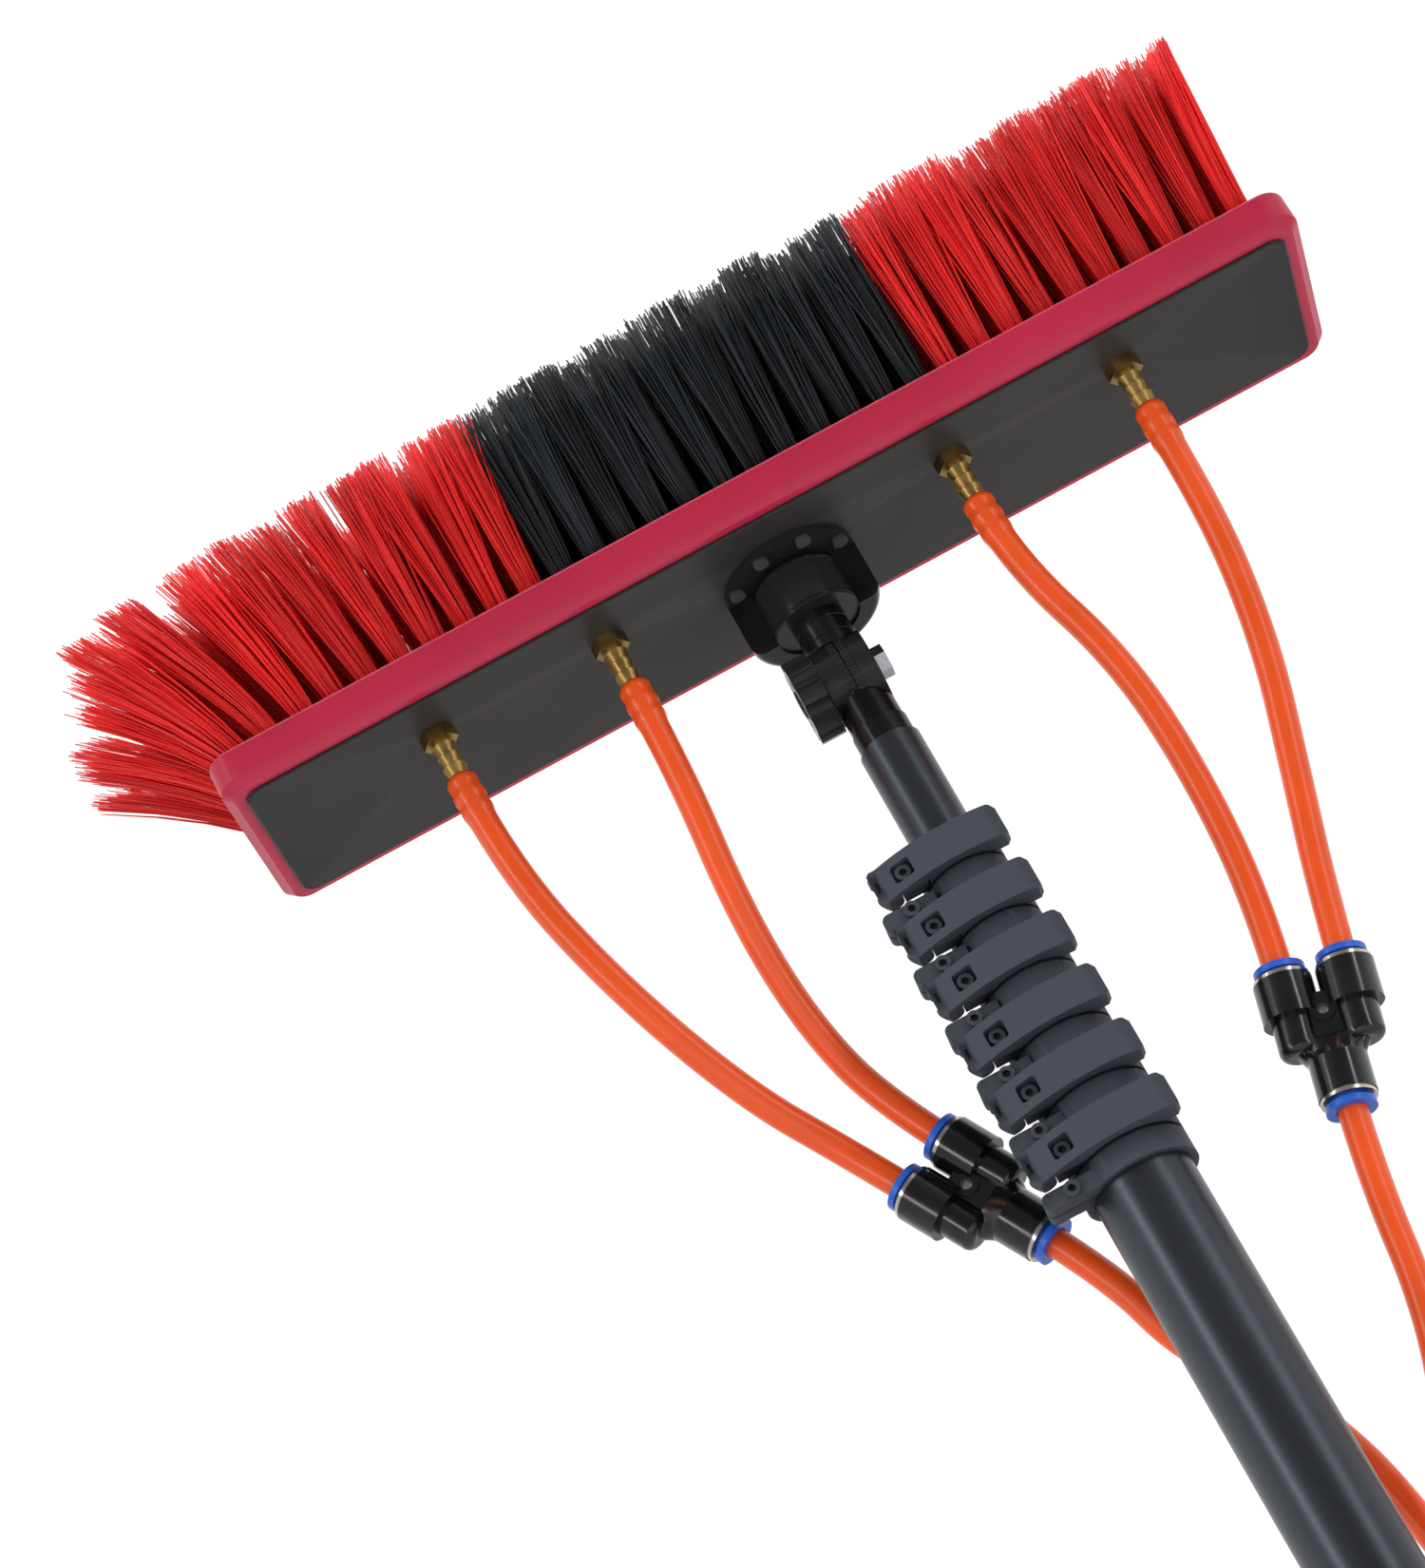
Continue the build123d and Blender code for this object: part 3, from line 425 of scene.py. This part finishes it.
# Width in millimetres of the rounded edges, by how a node's name starts
BEVELS = {
    "clamp_body": 0.5, "clamp_lever": 0.7, "clamp_bolts": 0.25,
    "socket_collar": 0.5, "socket_housing": 0.5, "housing_screws": 0.3,
    "swivel_arm": 0.4, "knuckle_base": 0.4, "tilt_knob": 0.7, "pivot_bolt": 0.3,
    "collet": 0.3, "port_rings": 0.2, "y_": 0.4, "inlet_barbs": 0.2,
    "back_panel": 0.2, "end_cap": 0.3,
}
BEVEL_ANGLE = math.radians(38)


def soften_edges(node, width):
    """Rounds the sharp edges of a CAD node and shades the rest smooth."""
    bevel = node.modifiers.new("soft_edges", "BEVEL")
    bevel.width = width * MM
    bevel.segments = 2
    bevel.limit_method = "ANGLE"
    bevel.angle_limit = BEVEL_ANGLE
    bevel.use_clamp_overlap = True
    smooth = node.modifiers.new("smooth_faces", "WEIGHTED_NORMAL")
    smooth.keep_sharp = False


def dress_cad_nodes(materials):
    for entry in frame["record"]["subparts"]:
        node = NODES[entry["node"]]
        slot = entry["material_slot"]
        node.data.materials.clear()
        node.data.materials.append(materials[slot])
        for start, width in BEVELS.items():
            if entry["node"].startswith(start):
                soften_edges(node, width)


# ---------------------------------------------------------------- helpers for the pieces made here

def new_piece(name, mesh, material, body=None):
    piece = bpy.data.objects.new(name, mesh)
    bpy.context.scene.collection.objects.link(piece)
    mesh.materials.append(material)
    if body is not None:
        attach(piece, body)
    return piece


def smooth_all(mesh):
    mesh.polygons.foreach_set("use_smooth", np.ones(len(mesh.polygons), bool))


# ---------------------------------------------------------------- bristles

TUFT_COLUMNS = 32
TUFT_COLUMN_PITCH = 12.2 * MM
TUFT_ROWS = 6
TUFT_ROW_PITCH = 12.4 * MM
TUFT_ROOT_RADIUS = 3.4 * MM
# How much a tuft widens towards its tips, in root radii, and the share of it that tufts have
TUFT_FAN = 1.25
FAN_SPREAD = (0.7, 1.3)
# How far the outermost tufts lean, at the sides near to and far from the camera on the left
LEFT_FLARE_NEAR = 41.0 * MM
LEFT_FLARE_FAR = 83.0 * MM
RIGHT_FLARE = 6.0 * MM
SIDE_FLARE = 4.0 * MM
FLARE_POWER = 5
DARK_HALF_LENGTH = 70.0 * MM
STRANDS_PER_TUFT = 108
STRAND_RADIUS = 0.41 * MM
STRAND_RINGS = 5
STRAND_SIDES = 3
STRAND_TAPER = 0.3
THICKNESS_SPREAD = (0.8, 1.15)
CLUMP_SCATTER = 2.0 * MM
STRAY_SCATTER = 1.0 * MM
# Share of the filaments that stray farther than the others, and how many times as far
WILD_SHARE = 0.1
WILD_FACTOR = 3
CLUMP_CUT = 5.0 * MM
STRAND_CUT = 1.3 * MM
LONGEST_CUT = 10.0 * MM
TIP_GAP = 0.3 * MM
BOW_SCATTER = 0.45 * MM
BOW_FROM_LEAN = 0.02
# Share of a filament's way outward that grows with the square of its height
OUTWARD_BEND = 0.25
INSET_FROM_BOX = (1.0 * MM, 4.0 * MM)
JET_PLACES = [(x * MM, -16.0 * MM) for x in (-130, -65, 65, 130)]
JET_CLEARANCE = 6.5 * MM
# Brightness of a filament: its middle, how much filaments and tufts vary, and the painted shade at
# the root and painted light at the tip that are added
TONE_MIDDLE = 0.5
STRAND_TONE_SCATTER = 0.12
TUFT_TONE_SCATTER = 0.08
ROOT_PAINTED_SHADE = -0.10
TIP_PAINTED_LIGHT = 0.06


def tuft_roots(x_from, x_to):
    """Root x and y of each tuft, and how far its tip leans in x and y; the left end flares most."""
    roots = []
    end = TUFT_COLUMN_PITCH * (TUFT_COLUMNS - 1) / 2
    side = TUFT_ROW_PITCH * (TUFT_ROWS - 1) / 2
    for column in range(TUFT_COLUMNS):
        x = column * TUFT_COLUMN_PITCH - end
        for row in range(TUFT_ROWS):
            y = row * TUFT_ROW_PITCH - side
            near_jet = any(math.hypot(x - jx, y - jy) < JET_CLEARANCE for jx, jy in JET_PLACES)
            if x_from < x < x_to and not near_jet:
                far = (y / side + 1) / 2
                left_flare = LEFT_FLARE_NEAR + (LEFT_FLARE_FAR - LEFT_FLARE_NEAR) * far
                flare = left_flare if x < 0 else RIGHT_FLARE
                roots.append((x, y, flare * (x / end) ** FLARE_POWER, SIDE_FLARE * y / side))
    return np.array(roots)


def make_strands(name, x_from, x_to, material):
    """Every filament is a thin prism, bent outward, clumped with its tuft and cut unevenly."""
    tufts = tuft_roots(x_from, x_to)
    count = len(tufts) * STRANDS_PER_TUFT
    tuft = np.repeat(np.arange(len(tufts)), STRANDS_PER_TUFT)
    lean = np.concatenate([tufts[:, 2:4], np.full((len(tufts), 1), TUFT_LENGTH)], 1)
    lean /= np.linalg.norm(lean, axis=1)[:, None]
    angle = RANDOM.uniform(0, 2 * np.pi, count)
    reach = np.sqrt(RANDOM.uniform(0, 1, count))
    spoke = np.stack([reach * np.cos(angle), reach * np.sin(angle)], 1) * TUFT_ROOT_RADIUS
    root = tufts[tuft, :2] + spoke
    fan = (TUFT_FAN * RANDOM.uniform(*FAN_SPREAD, len(tufts)))[tuft][:, None]
    clump_shift = RANDOM.normal(0, CLUMP_SCATTER, (len(tufts), 2))[tuft]
    stray = RANDOM.normal(0, STRAY_SCATTER, (count, 2))
    wild = RANDOM.uniform(0, 1, (count, 1)) > 1 - WILD_SHARE
    stray *= 1 + (WILD_FACTOR - 1) * wild
    clump_cut = RANDOM.uniform(0, CLUMP_CUT, len(tufts))[tuft]
    strand_cut = RANDOM.exponential(STRAND_CUT, count).clip(0, LONGEST_CUT)
    length = TUFT_LENGTH - clump_cut - strand_cut - TIP_GAP
    tip = root + lean[tuft, :2] * length[:, None] + clump_shift + stray + spoke * fan
    low = np.array(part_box("bristles_left")[0].xy)
    high = np.array(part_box("bristles_right")[1].xy)
    inset = RANDOM.uniform(*INSET_FROM_BOX, (count, 1))
    tip = tip.clip(low + inset, high - inset)
    bow = RANDOM.normal(0, BOW_SCATTER, (count, 2)) + lean[tuft, :2] * TUFT_LENGTH * BOW_FROM_LEAN
    height = lean[tuft, 2] * length
    sides = np.arange(STRAND_SIDES) * 2 * np.pi / STRAND_SIDES
    turn = RANDOM.uniform(0, 2 * np.pi, count)
    thickness = STRAND_RADIUS * RANDOM.uniform(*THICKNESS_SPREAD, count)
    points = np.empty((count, STRAND_RINGS, STRAND_SIDES, 3), np.float32)
    for ring in range(STRAND_RINGS):
        t = ring / (STRAND_RINGS - 1)
        outward = (1 - OUTWARD_BEND) * t + OUTWARD_BEND * t * t
        middle = root + (tip - root) * outward - bow * math.sin(math.pi * t)
        radius = thickness * (1.0 - STRAND_TAPER * t ** 3)
        for side_index, side_angle in enumerate(sides):
            points[:, ring, side_index, 0] = middle[:, 0] + radius * np.cos(side_angle + turn)
            points[:, ring, side_index, 1] = middle[:, 1] + radius * np.sin(side_angle + turn)
            points[:, ring, side_index, 2] = BLOCK_HIGH.z + height * t
    points[..., :2] = points[..., :2].clip(low, high)
    mesh = prism_mesh(name, points)
    strand_tone = RANDOM.normal(TONE_MIDDLE, STRAND_TONE_SCATTER, count)
    strand_tone += RANDOM.normal(0, TUFT_TONE_SCATTER, len(tufts))[tuft]
    tone = np.repeat(strand_tone, STRAND_RINGS * STRAND_SIDES)
    # painted shade towards each filament's root and painted light towards its tip, added to its
    # random tone
    ring_painted_light_and_shade = np.linspace(ROOT_PAINTED_SHADE, TIP_PAINTED_LIGHT, STRAND_RINGS)
    painted_light_and_shade = np.tile(np.repeat(ring_painted_light_and_shade, STRAND_SIDES), count)
    attribute = mesh.attributes.new("tone", "FLOAT", "POINT")
    attribute.data.foreach_set("value", (tone + painted_light_and_shade).astype(np.float32))
    return new_piece(name, mesh, material, "brush_head")


def prism_mesh(name, points):
    """Mesh of many prisms from an array of (prism, ring, side, xyz)."""
    count, rings, sides, _ = points.shape
    mesh = bpy.data.meshes.new(name)
    faces = []
    for ring in range(rings - 1):
        for side in range(sides):
            after = (side + 1) % sides
            faces.append([ring * sides + side, ring * sides + after,
                          (ring + 1) * sides + after, (ring + 1) * sides + side])
    pattern = np.array(faces)
    last = (rings - 1) * sides
    caps = np.array([[last + side for side in range(sides)], list(range(sides))[::-1]])
    offset = (np.arange(count) * rings * sides)[:, None, None]
    quads = (pattern[None] + offset).reshape(-1)
    ends = (caps[None] + offset).reshape(-1)
    quad_count, end_count = count * len(faces), count * 2
    mesh.vertices.add(count * rings * sides)
    mesh.vertices.foreach_set("co", points.reshape(-1))
    mesh.loops.add(len(quads) + len(ends))
    mesh.loops.foreach_set("vertex_index", np.concatenate([quads, ends]).astype(np.int32))
    mesh.polygons.add(quad_count + end_count)
    quad_starts = np.arange(quad_count) * 4
    end_starts = quad_count * 4 + np.arange(end_count) * sides
    starts = np.concatenate([quad_starts, end_starts])
    mesh.polygons.foreach_set("loop_start", starts.astype(np.int32))
    mesh.update(calc_edges=True)
    mesh.validate()
    return mesh


def make_all_bristles(materials):
    end = BLOCK_HIGH.x
    zones = (
        ("bristles_left", -end, -DARK_HALF_LENGTH, "bristle_red"),
        ("bristles_centre", -DARK_HALF_LENGTH, DARK_HALF_LENGTH, "bristle_black"),
        ("bristles_right", DARK_HALF_LENGTH, end, "bristle_red"),
    )
    for node, x_from, x_to, slot in zones:
        name = node.replace("bristles", "strands")
        strands = make_strands(name, x_from, x_to, materials[slot])
        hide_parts(node)


# ---------------------------------------------------------------- hoses

ROUTE_RESOLUTION = 36
HOSE_SIDES = 40
# Any direction that no hose sets out in
NOT_ALONG_A_HOSE = (1.0, 0.3, 0.0)

# Place along a branch hose and height, in millimetres, of each swelling over its barb
BARB_SWELLINGS = ((2.0, 0.55), (8.0, 0.75), (14.0, 0.6))
SWELLING_WIDTH = 2.2 * MM
ROLLED_END = 0.5 * MM


def below_panel(x, y, drop):
    """A point in millimetres, given by how far it is below the panel's back face."""
    return Vector((x * MM, y * MM, PANEL_Z - drop * MM))


FITTINGS = {
    "left": (below_panel(-44.3, 28.0, 225.5), Vector((0.883, 0, 0.469)).normalized()),
    "right": (below_panel(75.5, 6.0, 241.3), Vector((0.970, 0, -0.242)).normalized()),
    "inlet": (below_panel(29.0, 41.2, 460.0), Vector((0, 1, 0))),
}


def fitting_axis(side_direction):
    """A fitting's own z: at right angles to the line between its inlets, and upward."""
    if abs(side_direction.y) > 0.5:
        return Vector((0, 0, 1))
    return Vector((-side_direction.z, 0, side_direction.x))


def port_line(fitting, side, outlet=False):
    """The two points of a hose's last straight run: outside a fitting's port, then on its seat."""
    centre, across = FITTINGS[fitting]
    along = fitting_axis(across) * (-1 if outlet else 1)
    sideways = Vector() if outlet else across * (side * PORT_PITCH / 2)
    return [centre + sideways + along * LEAD_IN, centre + sideways + along * SEAT]


BRANCH_ROUTES = (
    ("left", [below_panel(-130, -16, 20), below_panel(-130, -16, 58), below_panel(-117, -5, 110),
              below_panel(-96.5, 14, 158), *port_line("left", -1)]),
    ("left", [below_panel(-65, -16, 20), below_panel(-65, -16, 56), below_panel(-70, -2, 108),
              below_panel(-67.5, 17, 146), *port_line("left", 1)]),
    ("right", [below_panel(65, -16, 20), below_panel(65, -16, 48), below_panel(79, -12, 96),
               below_panel(81.5, -2, 144), *port_line("right", -1)]),
    ("right", [below_panel(130, -16, 20), below_panel(130, -16, 62), below_panel(123, -8, 113),
               below_panel(109.5, 1, 157), *port_line("right", 1)]),
)
TRUNK_ROUTES = {
    "left": [*reversed(port_line("left", 0, outlet=True)), below_panel(-13, 36, 298),
             below_panel(7, 40, 325), below_panel(20, 45, 354), below_panel(26, 50, 384),
             *port_line("inlet", 1)],
    "right": [*reversed(port_line("right", 0, outlet=True)), below_panel(58, 14, 336),
              below_panel(43.5, 23.5, 374), *port_line("inlet", -1)],
}


def smooth_line(points):
    """Points of the NURBS spline that the route's points control, and how far along each one is."""
    curve = bpy.data.curves.new("route", "CURVE")
    curve.dimensions = "3D"
    curve.resolution_u = ROUTE_RESOLUTION
    spline = curve.splines.new("NURBS")
    spline.points.add(len(points) - 1)
    for control, point in zip(spline.points, points):
        control.co = (*point, 1)
    spline.order_u = 3
    spline.use_endpoint_u = True
    holder = bpy.data.objects.new("route", curve)
    bpy.context.scene.collection.objects.link(holder)
    graph = bpy.context.evaluated_depsgraph_get()
    mesh = bpy.data.meshes.new_from_object(holder.evaluated_get(graph))
    line = np.array([vertex.co for vertex in mesh.vertices], float)
    bpy.data.objects.remove(holder)
    bpy.data.curves.remove(curve)
    bpy.data.meshes.remove(mesh)
    steps = np.linalg.norm(np.diff(line, axis=0), axis=1)
    return line, np.concatenate([[0], np.cumsum(steps)])


def tube_mesh(name, line, radii):
    """A closed tube round a line, with a radius at each of its points."""
    tangents = np.gradient(line, axis=0)
    tangents /= np.linalg.norm(tangents, axis=1)[:, None]
    across = np.cross(tangents[0], NOT_ALONG_A_HOSE)
    rings = []
    for centre, tangent, radius in zip(line, tangents, radii):
        across = across - tangent * (across @ tangent)
        across /= np.linalg.norm(across)
        other = np.cross(tangent, across)
        angles = np.arange(HOSE_SIDES) * 2 * np.pi / HOSE_SIDES
        outward = np.cos(angles)[:, None] * across + np.sin(angles)[:, None] * other
        rings.append(centre + radius * outward)
    mesh = prism_mesh(name, np.array(rings, np.float32)[None])
    smooth_all(mesh)
    return mesh


def barb_bulges(steps):
    """Radius along a branch hose, with soft swellings at the barb's end and a rolled edge."""
    radii = np.full(len(steps), HOSE_RADIUS)
    for place, height in BARB_SWELLINGS:
        radii += height * MM * np.exp(-((steps - place * MM) / SWELLING_WIDTH) ** 2)
    radii[0] -= ROLLED_END
    return radii


def make_hoses(materials):
    for side, points in TRUNK_ROUTES.items():
        line, steps = smooth_line(points)
        mesh = tube_mesh(f"trunk_{side}", line, np.full(len(steps), HOSE_RADIUS))
        trunk = new_piece(f"trunk_{side}", mesh, materials["hose"], "section_1")
        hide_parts(f"trunk_hose_{side}")
    for number, (side, points) in enumerate(BRANCH_ROUTES, start=1):
        line, steps = smooth_line(points)
        mesh = tube_mesh(f"branch_{number}", line, barb_bulges(steps))
        branch = new_piece(f"branch_{number}", mesh, materials["hose"])
        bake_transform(branch)
        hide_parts(f"hose_branch_{number}")


# ---------------------------------------------------------------- small moulded and turned details

TOOTH_RADIUS = 13.3 * MM
TOOTH_HEIGHT = 0.6 * MM
TOOTH_COUNT = 44
TOOTH_SHARE_OF_PITCH = 0.8
TOOTH_NEAR = 0.2 * MM
TOOTH_FAR = 3.0 * MM
ARM_SEAM_RADIUS = 9.30 * MM
ARM_SEAM_SECTION = 0.3 * MM
COLLAR_RIB_RADIUS = 15.15 * MM
COLLAR_RIB_SECTION = 0.45 * MM
HUB_RADIUS = 4.6 * MM
HUB_SECTION = 0.8 * MM
HUB_INSET = 0.2 * MM
WASHER_RADIUS = 5.4 * MM
WASHER_SECTION = 0.7 * MM
WASHER_FLATNESS = 0.5
WASHER_INSET = 4.3 * MM

# Millimetres below the panel's back face of the moulded rings round the arm and the collar
ARM_SEAM_DROPS = {"arm_seam_1": 27.0, "arm_seam_2": 33.0}
COLLAR_RIB_DROPS = {"collar_rib_1": 6.6, "collar_rib_2": 22.0}

TORUS_TURNS = 64
TORUS_SIDES = 10


def ring_of_teeth(name, x_from, x_to, material, body):
    """Serrated rim round the tilt axis: small wedges side by side."""
    points = []
    for tooth in range(TOOTH_COUNT):
        angle = 2 * math.pi * tooth / TOOTH_COUNT
        half = math.pi / TOOTH_COUNT * TOOTH_SHARE_OF_PITCH
        profile = ((angle - half, TOOTH_RADIUS), (angle, TOOTH_RADIUS + TOOTH_HEIGHT),
                   (angle + half, TOOTH_RADIUS), (angle, TOOTH_RADIUS - TOOTH_HEIGHT))
        points.append([
            [(x, r * math.cos(a), PIVOT_Z + r * math.sin(a)) for a, r in profile]
            for x in (x_from, x_to)
        ])
    mesh = prism_mesh(name, np.array(points, np.float32))
    return new_piece(name, mesh, material, body)


def torus_mesh(name, centre, normal, radius, section, flatness=1.0):
    """A ring, such as a rib or a seam, round a normal."""
    maker = bmesh.new()
    placement = normal.to_track_quat("Z", "Y").to_matrix().to_4x4()
    placement.translation = centre
    rings = []
    for turn in range(TORUS_TURNS):
        a = 2 * math.pi * turn / TORUS_TURNS
        ring = []
        for side in range(TORUS_SIDES):
            b = 2 * math.pi * side / TORUS_SIDES
            r = radius + section * math.cos(b)
            point = Vector((r * math.cos(a), r * math.sin(a), section * flatness * math.sin(b)))
            ring.append(maker.verts.new(placement @ point))
        rings.append(ring)
    for turn in range(TORUS_TURNS):
        for side in range(TORUS_SIDES):
            this, above = rings[turn], rings[(turn + 1) % TORUS_TURNS]
            after = (side + 1) % TORUS_SIDES
            maker.faces.new((this[side], above[side], above[after], this[after]))
    mesh = bpy.data.meshes.new(name)
    maker.to_mesh(mesh)
    maker.free()
    smooth_all(mesh)
    return mesh


def add_knuckle_details(materials):
    """Teeth between the half discs, the knob's hub, the bolt's washer, and the moulded rings."""
    nylon, steel = materials["black_nylon"], materials["screw_steel"]
    along, up = Vector((1, 0, 0)), Vector((0, 0, 1))
    ring_of_teeth("teeth_head", TOOTH_NEAR, TOOTH_FAR, nylon, "brush_head")
    ring_of_teeth("teeth_pole", -TOOTH_FAR, -TOOTH_NEAR, nylon, "section_1")
    hub_place = Vector((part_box("tilt_knob")[0].x + HUB_INSET, 0, PIVOT_Z))
    hub = torus_mesh("knob_hub", hub_place, along, HUB_RADIUS, HUB_SECTION)
    new_piece("knob_hub", hub, nylon, "knob")
    washer_place = Vector((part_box("pivot_bolt")[1].x - WASHER_INSET, 0, PIVOT_Z))
    washer = torus_mesh("bolt_washer", washer_place, along,
                        WASHER_RADIUS, WASHER_SECTION, WASHER_FLATNESS)
    new_piece("bolt_washer", washer, steel, "brush_head")
    for name, drop in ARM_SEAM_DROPS.items():
        seam = torus_mesh(name, below_panel(0, 0, drop), up, ARM_SEAM_RADIUS, ARM_SEAM_SECTION)
        new_piece(name, seam, nylon, "brush_head")
    for name, drop in COLLAR_RIB_DROPS.items():
        rib = torus_mesh(name, below_panel(0, 0, drop), up, COLLAR_RIB_RADIUS, COLLAR_RIB_SECTION)
        new_piece(name, rib, nylon, "brush_head")


# ---------------------------------------------------------------- the whole scene

def main():
    make_camera()
    make_surroundings()
    materials = make_materials()
    make_hoses(materials)
    dress_cad_nodes(materials)
    make_all_bristles(materials)
    add_knuckle_details(materials)


main()
